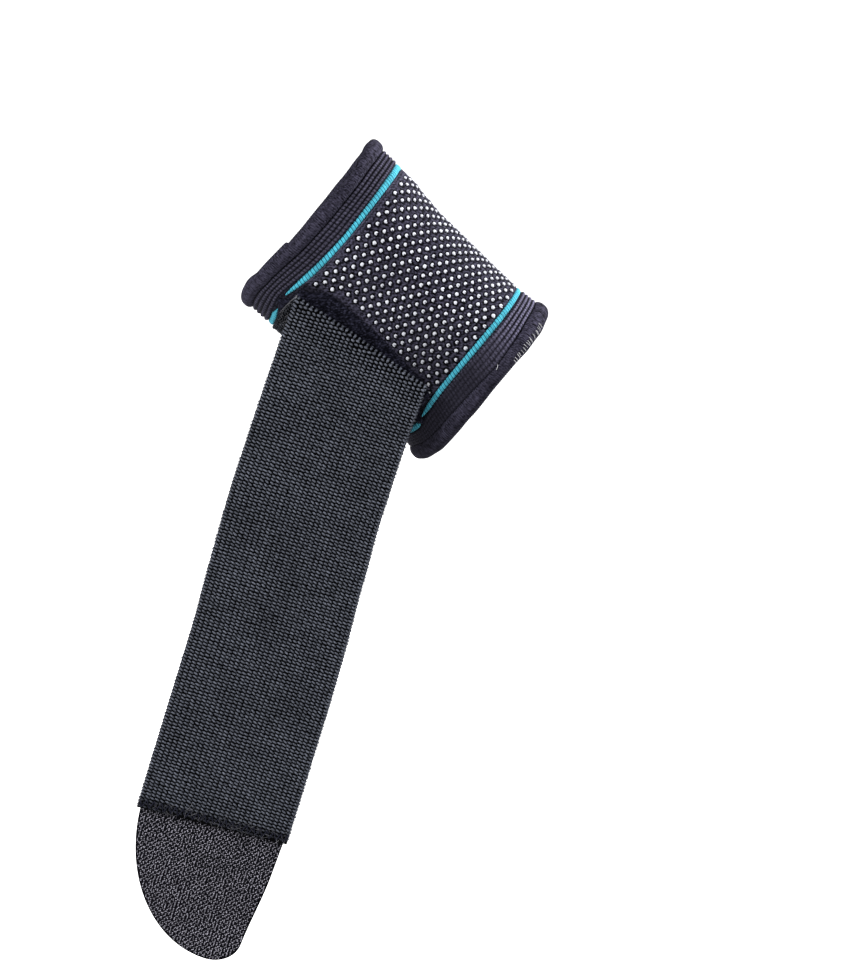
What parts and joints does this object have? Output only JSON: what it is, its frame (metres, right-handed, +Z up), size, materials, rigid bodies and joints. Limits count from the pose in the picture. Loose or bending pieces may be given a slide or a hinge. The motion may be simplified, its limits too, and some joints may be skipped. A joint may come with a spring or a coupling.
{
  "type": "wrist support",
  "caption": "Knitted elastic wrist sleeve with a dotted body, ribbed ends, inlaid stripes and rolled hems, and a webbing strap that folds back and hangs down to a rounded hook tab.",
  "frame": {"origin": "middle of the tube's bore, where the wrist sits", "axes": "+Z up, the strap hangs along -Z; the tube's axis lies in the XZ plane and drops 25.9 degrees towards the hand end at +X; -Y is the front"},
  "size_m": [0.0961, 0.0563, 0.2755],
  "materials": {
    "knit": "dark ribbed and dotted elastic knit, matt",
    "stripe_yarn": "turquoise yarn, slight sheen",
    "hem_knit": "dark rolled knit, matt",
    "plush": "dark velvety loop cloth",
    "webbing": "charcoal elastic webbing, coarse weave",
    "hook_cloth": "grey heather cloth backed with hooks"
  },
  "bodies": {
    "root": {"sleeve": "knit", "stripe_elbow": "stripe_yarn", "stripe_hand": "stripe_yarn", "hem_elbow": "hem_knit", "hem_hand": "hem_knit", "plush_panel": "plush", "strap": "webbing", "hook_tab": "hook_cloth"}
  },
  "joints": []
}
